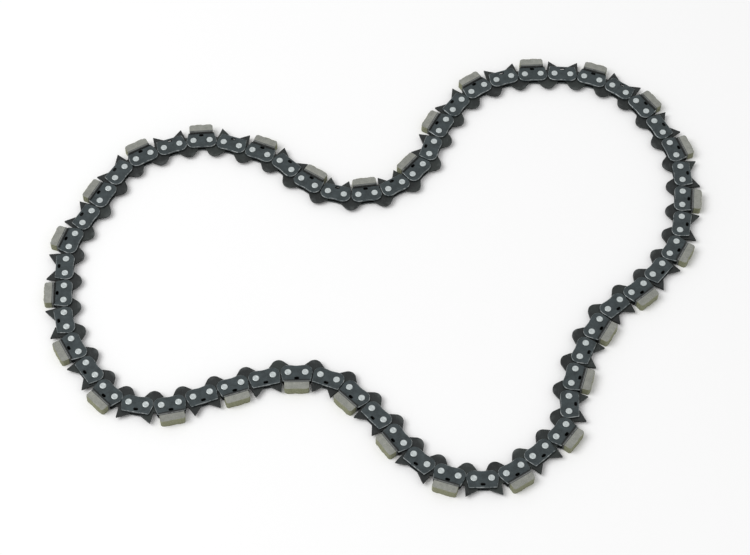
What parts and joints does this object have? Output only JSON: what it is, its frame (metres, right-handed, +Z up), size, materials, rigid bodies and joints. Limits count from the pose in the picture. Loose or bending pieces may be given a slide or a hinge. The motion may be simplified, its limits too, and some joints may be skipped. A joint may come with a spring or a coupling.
{
  "type": "diamond saw chain",
  "caption": "Closed loop of riveted steel links with cutting blocks brazed along its outer edge, lying on its side in a loose curve.",
  "frame": {"origin": "centre of the bottom of the bounding box, on the surface that the chain lies on", "axes": "+X along the loop as it lies, the longest extent; +Z up through the thickness of the chain, the shortest extent"},
  "size_m": [0.397, 0.316, 0.0057],
  "materials": {
    "cutter_link_01": "dark hardened steel with a dull sheen",
    "cutter_link_02": "dark hardened steel with a dull sheen",
    "cutter_link_03": "dark hardened steel with a dull sheen",
    "cutter_link_05": "dark hardened steel with a dull sheen",
    "cutter_link_07": "dark hardened steel with a dull sheen",
    "cutter_link_08": "dark hardened steel with a dull sheen",
    "cutter_link_10": "dark hardened steel with a dull sheen",
    "cutter_link_12": "dark hardened steel with a dull sheen",
    "cutter_link_13": "dark hardened steel with a dull sheen",
    "cutter_link_15": "dark hardened steel with a dull sheen",
    "cutter_link_16": "dark hardened steel with a dull sheen",
    "cutter_link_18": "dark hardened steel with a dull sheen",
    "cutter_link_19": "dark hardened steel with a dull sheen",
    "cutter_link_20": "dark hardened steel with a dull sheen",
    "cutter_link_22": "dark hardened steel with a dull sheen",
    "cutter_link_24": "dark hardened steel with a dull sheen",
    "cutter_link_25": "dark hardened steel with a dull sheen",
    "cutter_link_27": "dark hardened steel with a dull sheen",
    "cutter_link_28": "dark hardened steel with a dull sheen",
    "cutter_link_30": "dark hardened steel with a dull sheen",
    "cutter_rivet_front": "bright steel",
    "cutter_rivet_rear": "bright steel",
    "cutter_strap_lower": "dark hardened steel with a dull sheen",
    "cutter_strap_upper": "dark hardened steel with a dull sheen",
    "diamond_segment": "sintered metal and grit, rough",
    "drive_link_front": "dark hardened steel, satin",
    "drive_link_rear": "dark hardened steel, satin",
    "link_unit_06": "dark hardened steel with a dull sheen",
    "link_unit_09": "dark hardened steel with a dull sheen",
    "link_unit_11": "dark hardened steel with a dull sheen",
    "link_unit_14": "dark hardened steel with a dull sheen",
    "link_unit_17": "dark hardened steel with a dull sheen",
    "link_unit_21": "dark hardened steel with a dull sheen",
    "link_unit_23": "dark hardened steel with a dull sheen",
    "link_unit_26": "dark hardened steel with a dull sheen",
    "link_unit_29": "dark hardened steel with a dull sheen",
    "master_rivet_front": "bright steel",
    "master_rivet_rear": "bright steel",
    "master_strap_lower": "dark hardened steel with a dull sheen",
    "master_strap_upper": "dark hardened steel with a dull sheen",
    "tie_unit_01": "dark hardened steel with a dull sheen",
    "tie_unit_02": "dark hardened steel with a dull sheen",
    "tie_unit_03": "dark hardened steel with a dull sheen",
    "tie_unit_05": "dark hardened steel with a dull sheen",
    "tie_unit_07": "dark hardened steel with a dull sheen",
    "tie_unit_08": "dark hardened steel with a dull sheen",
    "tie_unit_10": "dark hardened steel with a dull sheen",
    "tie_unit_12": "dark hardened steel with a dull sheen",
    "tie_unit_13": "dark hardened steel with a dull sheen",
    "tie_unit_15": "dark hardened steel with a dull sheen",
    "tie_unit_16": "dark hardened steel with a dull sheen",
    "tie_unit_18": "dark hardened steel with a dull sheen",
    "tie_unit_19": "dark hardened steel with a dull sheen",
    "tie_unit_20": "dark hardened steel with a dull sheen",
    "tie_unit_22": "dark hardened steel with a dull sheen",
    "tie_unit_24": "dark hardened steel with a dull sheen",
    "tie_unit_25": "dark hardened steel with a dull sheen",
    "tie_unit_27": "dark hardened steel with a dull sheen",
    "tie_unit_28": "dark hardened steel with a dull sheen",
    "tie_unit_30": "dark hardened steel with a dull sheen"
  },
  "bodies": {
    "cutter_link_01": {"cutter_link_01": "cutter_link_01"},
    "tie_unit_01": {"tie_unit_01": "tie_unit_01"},
    "cutter_link_02": {"cutter_link_02": "cutter_link_02"},
    "tie_unit_02": {"tie_unit_02": "tie_unit_02"},
    "cutter_link_03": {"cutter_link_03": "cutter_link_03"},
    "tie_unit_03": {"tie_unit_03": "tie_unit_03"},
    "cutter_link_master": {"cutter_strap_upper": "cutter_strap_upper", "cutter_strap_lower": "cutter_strap_lower", "cutter_rivet_rear": "cutter_rivet_rear", "cutter_rivet_front": "cutter_rivet_front", "diamond_segment": "diamond_segment"},
    "drive_link_rear": {"drive_link_rear": "drive_link_rear"},
    "master_tie": {"master_strap_upper": "master_strap_upper", "master_strap_lower": "master_strap_lower", "master_rivet_rear": "master_rivet_rear", "master_rivet_front": "master_rivet_front"},
    "drive_link_front": {"drive_link_front": "drive_link_front"},
    "cutter_link_05": {"cutter_link_05": "cutter_link_05"},
    "tie_unit_05": {"tie_unit_05": "tie_unit_05"},
    "link_unit_06": {"link_unit_06": "link_unit_06"},
    "cutter_link_07": {"cutter_link_07": "cutter_link_07"},
    "tie_unit_07": {"tie_unit_07": "tie_unit_07"},
    "cutter_link_08": {"cutter_link_08": "cutter_link_08"},
    "tie_unit_08": {"tie_unit_08": "tie_unit_08"},
    "link_unit_09": {"link_unit_09": "link_unit_09"},
    "cutter_link_10": {"cutter_link_10": "cutter_link_10"},
    "tie_unit_10": {"tie_unit_10": "tie_unit_10"},
    "link_unit_11": {"link_unit_11": "link_unit_11"},
    "cutter_link_12": {"cutter_link_12": "cutter_link_12"},
    "tie_unit_12": {"tie_unit_12": "tie_unit_12"},
    "cutter_link_13": {"cutter_link_13": "cutter_link_13"},
    "tie_unit_13": {"tie_unit_13": "tie_unit_13"},
    "link_unit_14": {"link_unit_14": "link_unit_14"},
    "cutter_link_15": {"cutter_link_15": "cutter_link_15"},
    "tie_unit_15": {"tie_unit_15": "tie_unit_15"},
    "cutter_link_16": {"cutter_link_16": "cutter_link_16"},
    "tie_unit_16": {"tie_unit_16": "tie_unit_16"},
    "link_unit_17": {"link_unit_17": "link_unit_17"},
    "cutter_link_18": {"cutter_link_18": "cutter_link_18"},
    "tie_unit_18": {"tie_unit_18": "tie_unit_18"},
    "cutter_link_19": {"cutter_link_19": "cutter_link_19"},
    "tie_unit_19": {"tie_unit_19": "tie_unit_19"},
    "cutter_link_20": {"cutter_link_20": "cutter_link_20"},
    "tie_unit_20": {"tie_unit_20": "tie_unit_20"},
    "link_unit_21": {"link_unit_21": "link_unit_21"},
    "cutter_link_22": {"cutter_link_22": "cutter_link_22"},
    "tie_unit_22": {"tie_unit_22": "tie_unit_22"},
    "link_unit_23": {"link_unit_23": "link_unit_23"},
    "cutter_link_24": {"cutter_link_24": "cutter_link_24"},
    "tie_unit_24": {"tie_unit_24": "tie_unit_24"},
    "cutter_link_25": {"cutter_link_25": "cutter_link_25"},
    "tie_unit_25": {"tie_unit_25": "tie_unit_25"},
    "link_unit_26": {"link_unit_26": "link_unit_26"},
    "cutter_link_27": {"cutter_link_27": "cutter_link_27"},
    "tie_unit_27": {"tie_unit_27": "tie_unit_27"},
    "cutter_link_28": {"cutter_link_28": "cutter_link_28"},
    "tie_unit_28": {"tie_unit_28": "tie_unit_28"},
    "link_unit_29": {"link_unit_29": "link_unit_29"},
    "cutter_link_30": {"cutter_link_30": "cutter_link_30"},
    "tie_unit_30": {"tie_unit_30": "tie_unit_30"}
  },
  "joints": [
    {"name": "rivet_080_pivot", "type": "hinge", "parent": "cutter_link_20", "child": "tie_unit_20", "pos_m": [0.05592, 0.12965, 0.00285], "axis": [0, 0, 1], "range_deg": [-28, 39]},
    {"name": "fold_long_rivet_083", "type": "hinge", "parent": "tie_unit_20", "child": "link_unit_21", "pos_m": [0.04, 0.10681, 0.00285], "axis": [0, 0, 1], "range_deg": [-4.71, 4.71]},
    {"name": "rivet_087_pivot", "type": "hinge", "parent": "link_unit_21", "child": "cutter_link_22", "pos_m": [0.02592, 0.07151, 0.00285], "axis": [0, 0, 1], "range_deg": [-6, 52]},
    {"name": "rivet_088_pivot", "type": "hinge", "parent": "cutter_link_22", "child": "tie_unit_22", "pos_m": [0.01973, 0.06353, 0.00285], "axis": [0, 0, 1], "range_deg": [-10, 47.5]},
    {"name": "rivet_091_pivot", "type": "hinge", "parent": "tie_unit_22", "child": "link_unit_23", "pos_m": [-0.00345, 0.04851, 0.00285], "axis": [0, 0, 1], "range_deg": [-6.5, 50.5]},
    {"name": "rivet_095_pivot", "type": "hinge", "parent": "link_unit_23", "child": "cutter_link_24", "pos_m": [-0.0404, 0.05238, 0.00285], "axis": [0, 0, 1], "range_deg": [-10, 47]},
    {"name": "rivet_096_pivot", "type": "hinge", "parent": "cutter_link_24", "child": "tie_unit_24", "pos_m": [-0.04901, 0.05765, 0.00285], "axis": [0, 0, 1], "range_deg": [-5.5, 57.5]},
    {"name": "rivet_099_pivot", "type": "hinge", "parent": "tie_unit_24", "child": "cutter_link_25", "pos_m": [-0.07093, 0.07472, 0.00285], "axis": [0, 0, 1], "range_deg": [-25, 58]},
    {"name": "rivet_100_pivot", "type": "hinge", "parent": "cutter_link_25", "child": "tie_unit_25", "pos_m": [-0.08039, 0.07826, 0.00285], "axis": [0, 0, 1], "range_deg": [-21, 42]},
    {"name": "rivet_103_pivot", "type": "hinge", "parent": "tie_unit_25", "child": "link_unit_26", "pos_m": [-0.10751, 0.08493, 0.00285], "axis": [0, 0, 1], "range_deg": [-32, 34]},
    {"name": "rivet_107_pivot", "type": "hinge", "parent": "link_unit_26", "child": "cutter_link_27", "pos_m": [-0.14352, 0.07354, 0.00285], "axis": [0, 0, 1], "range_deg": [-23.5, 40]},
    {"name": "rivet_108_pivot", "type": "hinge", "parent": "cutter_link_27", "child": "tie_unit_27", "pos_m": [-0.15207, 0.06816, 0.00285], "axis": [0, 0, 1], "range_deg": [-29, 54.5]},
    {"name": "rivet_111_pivot", "type": "hinge", "parent": "tie_unit_27", "child": "cutter_link_28", "pos_m": [-0.16708, 0.04503, 0.00285], "axis": [0, 0, 1], "range_deg": [-14.5, 51]},
    {"name": "rivet_112_pivot", "type": "hinge", "parent": "cutter_link_28", "child": "tie_unit_28", "pos_m": [-0.17145, 0.03593, 0.00285], "axis": [0, 0, 1], "range_deg": [-15.5, 47]},
    {"name": "rivet_115_pivot", "type": "hinge", "parent": "tie_unit_28", "child": "link_unit_29", "pos_m": [-0.18401, 0.01092, 0.00285], "axis": [0, 0, 1], "range_deg": [-26, 37.5]},
    {"name": "rivet_119_pivot", "type": "hinge", "parent": "link_unit_29", "child": "cutter_link_30", "pos_m": [-0.18677, -0.02674, 0.00285], "axis": [0, 0, 1], "range_deg": [-19.5, 42.5]},
    {"name": "rivet_000_pivot", "type": "hinge", "parent": "cutter_link_30", "child": "tie_unit_30", "pos_m": [-0.18603, -0.03681, 0.00285], "axis": [0, 0, 1], "range_deg": [-21.5, 43.5]},
    {"name": "rivet_003_pivot", "type": "hinge", "parent": "tie_unit_30", "child": "cutter_link_01", "pos_m": [-0.17869, -0.06365, 0.00285], "axis": [0, 0, 1], "range_deg": [-25, 42]},
    {"name": "rivet_004_pivot", "type": "hinge", "parent": "cutter_link_01", "child": "tie_unit_01", "pos_m": [-0.17353, -0.07233, 0.00285], "axis": [0, 0, 1], "range_deg": [-22, 41]},
    {"name": "rivet_007_pivot", "type": "hinge", "parent": "tie_unit_01", "child": "cutter_link_02", "pos_m": [-0.15701, -0.09493, 0.00285], "axis": [0, 0, 1], "range_deg": [-28.5, 33.5]},
    {"name": "rivet_008_pivot", "type": "hinge", "parent": "cutter_link_02", "child": "tie_unit_02", "pos_m": [-0.14964, -0.10183, 0.00285], "axis": [0, 0, 1], "range_deg": [-40.5, 29]},
    {"name": "fold_skew_rivet_011", "type": "hinge", "parent": "tie_unit_02", "child": "cutter_link_03", "pos_m": [-0.1223, -0.10639, 0.00285], "axis": [0, 0, 1], "range_deg": [-8.42, 8.42]},
    {"name": "rivet_012_pivot", "type": "hinge", "parent": "cutter_link_03", "child": "tie_unit_03", "pos_m": [-0.11249, -0.10399, 0.00285], "axis": [0, 0, 1], "range_deg": [-29, 32]},
    {"name": "rivet_015_pivot", "type": "hinge", "parent": "tie_unit_03", "child": "cutter_link_master", "pos_m": [-0.08672, -0.09307, 0.00285], "axis": [0, 0, 1], "range_deg": [-17, 42]},
    {"name": "rivet_016_pivot", "type": "hinge", "parent": "cutter_link_master", "child": "drive_link_rear", "pos_m": [-0.0773, -0.08942, 0.00285], "axis": [0, 0, 1], "range_deg": [-15.5, 58]},
    {"name": "rivet_017_pivot", "type": "hinge", "parent": "drive_link_rear", "child": "master_tie", "pos_m": [-0.06883, -0.08653, 0.00285], "axis": [0, 0, 1], "range_deg": [-58, 58]},
    {"name": "rivet_079_pivot", "type": "hinge", "parent": "cutter_link_20", "child": "tie_unit_19", "pos_m": [0.06405, 0.13565, 0.00285], "axis": [0, 0, 1], "range_deg": [-40, 26]},
    {"name": "rivet_076_pivot", "type": "hinge", "parent": "tie_unit_19", "child": "cutter_link_19", "pos_m": [0.09012, 0.14529, 0.00285], "axis": [0, 0, 1], "range_deg": [-43, 24]},
    {"name": "rivet_075_pivot", "type": "hinge", "parent": "cutter_link_19", "child": "tie_unit_18", "pos_m": [0.10018, 0.1462, 0.00285], "axis": [0, 0, 1], "range_deg": [-44, 20]},
    {"name": "rivet_072_pivot", "type": "hinge", "parent": "tie_unit_18", "child": "cutter_link_18", "pos_m": [0.12806, 0.14521, 0.00285], "axis": [0, 0, 1], "range_deg": [-40, 26]},
    {"name": "rivet_071_pivot", "type": "hinge", "parent": "cutter_link_18", "child": "link_unit_17", "pos_m": [0.13772, 0.14225, 0.00285], "axis": [0, 0, 1], "range_deg": [-41.5, 25]},
    {"name": "rivet_067_pivot", "type": "hinge", "parent": "link_unit_17", "child": "tie_unit_16", "pos_m": [0.16666, 0.11853, 0.00285], "axis": [0, 0, 1], "range_deg": [-41, 22.5]},
    {"name": "rivet_064_pivot", "type": "hinge", "parent": "tie_unit_16", "child": "cutter_link_16", "pos_m": [0.18048, 0.0942, 0.00285], "axis": [0, 0, 1], "range_deg": [-40, 23]},
    {"name": "rivet_063_pivot", "type": "hinge", "parent": "cutter_link_16", "child": "tie_unit_15", "pos_m": [0.18411, 0.08478, 0.00285], "axis": [0, 0, 1], "range_deg": [-41.5, 25]},
    {"name": "rivet_060_pivot", "type": "hinge", "parent": "tie_unit_15", "child": "cutter_link_15", "pos_m": [0.18677, 0.05707, 0.00285], "axis": [0, 0, 1], "range_deg": [-44.5, 20.5]},
    {"name": "rivet_059_pivot", "type": "hinge", "parent": "cutter_link_15", "child": "link_unit_14", "pos_m": [0.18596, 0.047, 0.00285], "axis": [0, 0, 1], "range_deg": [-45.5, 18]},
    {"name": "rivet_055_pivot", "type": "hinge", "parent": "link_unit_14", "child": "tie_unit_13", "pos_m": [0.17655, 0.01051, 0.00285], "axis": [0, 0, 1], "range_deg": [-39.5, 24]},
    {"name": "rivet_052_pivot", "type": "hinge", "parent": "tie_unit_13", "child": "cutter_link_13", "pos_m": [0.15978, -0.01186, 0.00285], "axis": [0, 0, 1], "range_deg": [-37.5, 25.5]},
    {"name": "rivet_051_pivot", "type": "hinge", "parent": "cutter_link_13", "child": "tie_unit_12", "pos_m": [0.15224, -0.01859, 0.00285], "axis": [0, 0, 1], "range_deg": [-36, 23]},
    {"name": "rivet_048_pivot", "type": "hinge", "parent": "tie_unit_12", "child": "cutter_link_12", "pos_m": [0.13258, -0.0382, 0.00285], "axis": [0, 0, 1], "range_deg": [-45.5, 11.5]},
    {"name": "fold_wave_rivet_047", "type": "hinge", "parent": "cutter_link_12", "child": "link_unit_11", "pos_m": [0.12769, -0.04704, 0.00285], "axis": [0, 0, 1], "range_deg": [-6.65, 6.65]},
    {"name": "rivet_043_pivot", "type": "hinge", "parent": "link_unit_11", "child": "tie_unit_10", "pos_m": [0.11481, -0.08281, 0.00285], "axis": [0, 0, 1], "range_deg": [-44.5, 13.5]},
    {"name": "rivet_040_pivot", "type": "hinge", "parent": "tie_unit_10", "child": "cutter_link_10", "pos_m": [0.11113, -0.11045, 0.00285], "axis": [0, 0, 1], "range_deg": [-27.5, 41]},
    {"name": "rivet_039_pivot", "type": "hinge", "parent": "cutter_link_10", "child": "link_unit_09", "pos_m": [0.10531, -0.11871, 0.00285], "axis": [0, 0, 1], "range_deg": [-34.5, 28]},
    {"name": "rivet_035_pivot", "type": "hinge", "parent": "link_unit_09", "child": "tie_unit_08", "pos_m": [0.07659, -0.14361, 0.00285], "axis": [0, 0, 1], "range_deg": [-46.5, 32]},
    {"name": "rivet_032_pivot", "type": "hinge", "parent": "tie_unit_08", "child": "cutter_link_08", "pos_m": [0.04926, -0.14619, 0.00285], "axis": [0, 0, 1], "range_deg": [-41.5, 26.5]},
    {"name": "rivet_031_pivot", "type": "hinge", "parent": "cutter_link_08", "child": "tie_unit_07", "pos_m": [0.03956, -0.14336, 0.00285], "axis": [0, 0, 1], "range_deg": [-57.5, 27]},
    {"name": "rivet_028_pivot", "type": "hinge", "parent": "tie_unit_07", "child": "cutter_link_07", "pos_m": [0.01798, -0.12614, 0.00285], "axis": [0, 0, 1], "range_deg": [-46, 20.5]},
    {"name": "rivet_027_pivot", "type": "hinge", "parent": "cutter_link_07", "child": "link_unit_06", "pos_m": [0.01178, -0.11817, 0.00285], "axis": [0, 0, 1], "range_deg": [-45, 15.5]},
    {"name": "rivet_023_pivot", "type": "hinge", "parent": "link_unit_06", "child": "tie_unit_05", "pos_m": [-0.0143, -0.09044, 0.00285], "axis": [0, 0, 1], "range_deg": [-51.5, 6]},
    {"name": "rivet_020_pivot", "type": "hinge", "parent": "tie_unit_05", "child": "cutter_link_05", "pos_m": [-0.04032, -0.08118, 0.00285], "axis": [0, 0, 1], "range_deg": [-50.5, 6.5]},
    {"name": "rivet_019_pivot", "type": "hinge", "parent": "cutter_link_05", "child": "drive_link_front", "pos_m": [-0.0504, -0.08172, 0.00285], "axis": [0, 0, 1], "range_deg": [-58, 8]}
  ],
  "couplings": [
    {"joint": "rivet_080_pivot", "follows": "fold_wave_rivet_047", "ratio": -0.59099},
    {"joint": "rivet_087_pivot", "follows": "fold_skew_rivet_011", "ratio": 0.45849},
    {"joint": "rivet_088_pivot", "follows": "fold_wave_rivet_047", "ratio": -0.57749},
    {"joint": "rivet_091_pivot", "follows": "fold_long_rivet_083", "ratio": -1.172},
    {"joint": "rivet_095_pivot", "follows": "fold_skew_rivet_011", "ratio": -0.23556},
    {"joint": "rivet_096_pivot", "follows": "fold_wave_rivet_047", "ratio": -0.50714},
    {"joint": "rivet_099_pivot", "follows": "fold_long_rivet_083", "ratio": 0.59932},
    {"joint": "rivet_100_pivot", "follows": "fold_skew_rivet_011", "ratio": 0.9176},
    {"joint": "rivet_103_pivot", "follows": "fold_wave_rivet_047", "ratio": 0.93112},
    {"joint": "rivet_107_pivot", "follows": "fold_long_rivet_083", "ratio": 2.5174},
    {"joint": "rivet_108_pivot", "follows": "fold_skew_rivet_011", "ratio": -0.88841},
    {"joint": "rivet_111_pivot", "follows": "fold_wave_rivet_047", "ratio": -0.93777},
    {"joint": "rivet_112_pivot", "follows": "fold_long_rivet_083", "ratio": -2.0172},
    {"joint": "rivet_115_pivot", "follows": "fold_skew_rivet_011", "ratio": -0.39847},
    {"joint": "rivet_119_pivot", "follows": "fold_wave_rivet_047", "ratio": 1.1738},
    {"joint": "rivet_000_pivot", "follows": "fold_long_rivet_083", "ratio": -2.7064},
    {"joint": "rivet_003_pivot", "follows": "fold_long_rivet_083", "ratio": -0.53066},
    {"joint": "rivet_004_pivot", "follows": "fold_skew_rivet_011", "ratio": 0.71356},
    {"joint": "rivet_007_pivot", "follows": "fold_wave_rivet_047", "ratio": 0.11549},
    {"joint": "rivet_008_pivot", "follows": "fold_long_rivet_083", "ratio": 2.9724},
    {"joint": "rivet_012_pivot", "follows": "fold_wave_rivet_047", "ratio": 0.10975},
    {"joint": "rivet_015_pivot", "follows": "fold_long_rivet_083", "ratio": -0.29166},
    {"joint": "rivet_016_pivot", "follows": "fold_skew_rivet_011", "ratio": -0.23113},
    {"joint": "rivet_017_pivot", "follows": "fold_wave_rivet_047", "ratio": -1.0273},
    {"joint": "rivet_079_pivot", "follows": "fold_skew_rivet_011", "ratio": 1.5047},
    {"joint": "rivet_076_pivot", "follows": "fold_long_rivet_083", "ratio": -1.1281},
    {"joint": "rivet_075_pivot", "follows": "fold_wave_rivet_047", "ratio": -1.0338},
    {"joint": "rivet_072_pivot", "follows": "fold_skew_rivet_011", "ratio": -0.65783},
    {"joint": "rivet_071_pivot", "follows": "fold_long_rivet_083", "ratio": -2.1266},
    {"joint": "rivet_067_pivot", "follows": "fold_wave_rivet_047", "ratio": 0.5665},
    {"joint": "rivet_064_pivot", "follows": "fold_skew_rivet_011", "ratio": -0.96596},
    {"joint": "rivet_063_pivot", "follows": "fold_long_rivet_083", "ratio": 2.839},
    {"joint": "rivet_060_pivot", "follows": "fold_wave_rivet_047", "ratio": -0.10869},
    {"joint": "rivet_059_pivot", "follows": "fold_skew_rivet_011", "ratio": 0.56052},
    {"joint": "rivet_055_pivot", "follows": "fold_long_rivet_083", "ratio": 2.6944},
    {"joint": "rivet_052_pivot", "follows": "fold_wave_rivet_047", "ratio": -1.053},
    {"joint": "rivet_051_pivot", "follows": "fold_skew_rivet_011", "ratio": -0.33389},
    {"joint": "rivet_048_pivot", "follows": "fold_long_rivet_083", "ratio": -1.5606},
    {"joint": "rivet_043_pivot", "follows": "fold_skew_rivet_011", "ratio": -0.1495},
    {"joint": "rivet_040_pivot", "follows": "fold_long_rivet_083", "ratio": 0.28794},
    {"joint": "rivet_039_pivot", "follows": "fold_wave_rivet_047", "ratio": -0.9955},
    {"joint": "rivet_035_pivot", "follows": "fold_skew_rivet_011", "ratio": 0.86293},
    {"joint": "rivet_032_pivot", "follows": "fold_long_rivet_083", "ratio": -2.686},
    {"joint": "rivet_031_pivot", "follows": "fold_wave_rivet_047", "ratio": 0.67001},
    {"joint": "rivet_028_pivot", "follows": "fold_skew_rivet_011", "ratio": 0.14384},
    {"joint": "rivet_027_pivot", "follows": "fold_long_rivet_083", "ratio": -0.29111},
    {"joint": "rivet_023_pivot", "follows": "fold_wave_rivet_047", "ratio": -0.33713},
    {"joint": "rivet_020_pivot", "follows": "fold_skew_rivet_011", "ratio": 0.36171},
    {"joint": "rivet_019_pivot", "follows": "fold_long_rivet_083", "ratio": 1.2602}
  ]
}
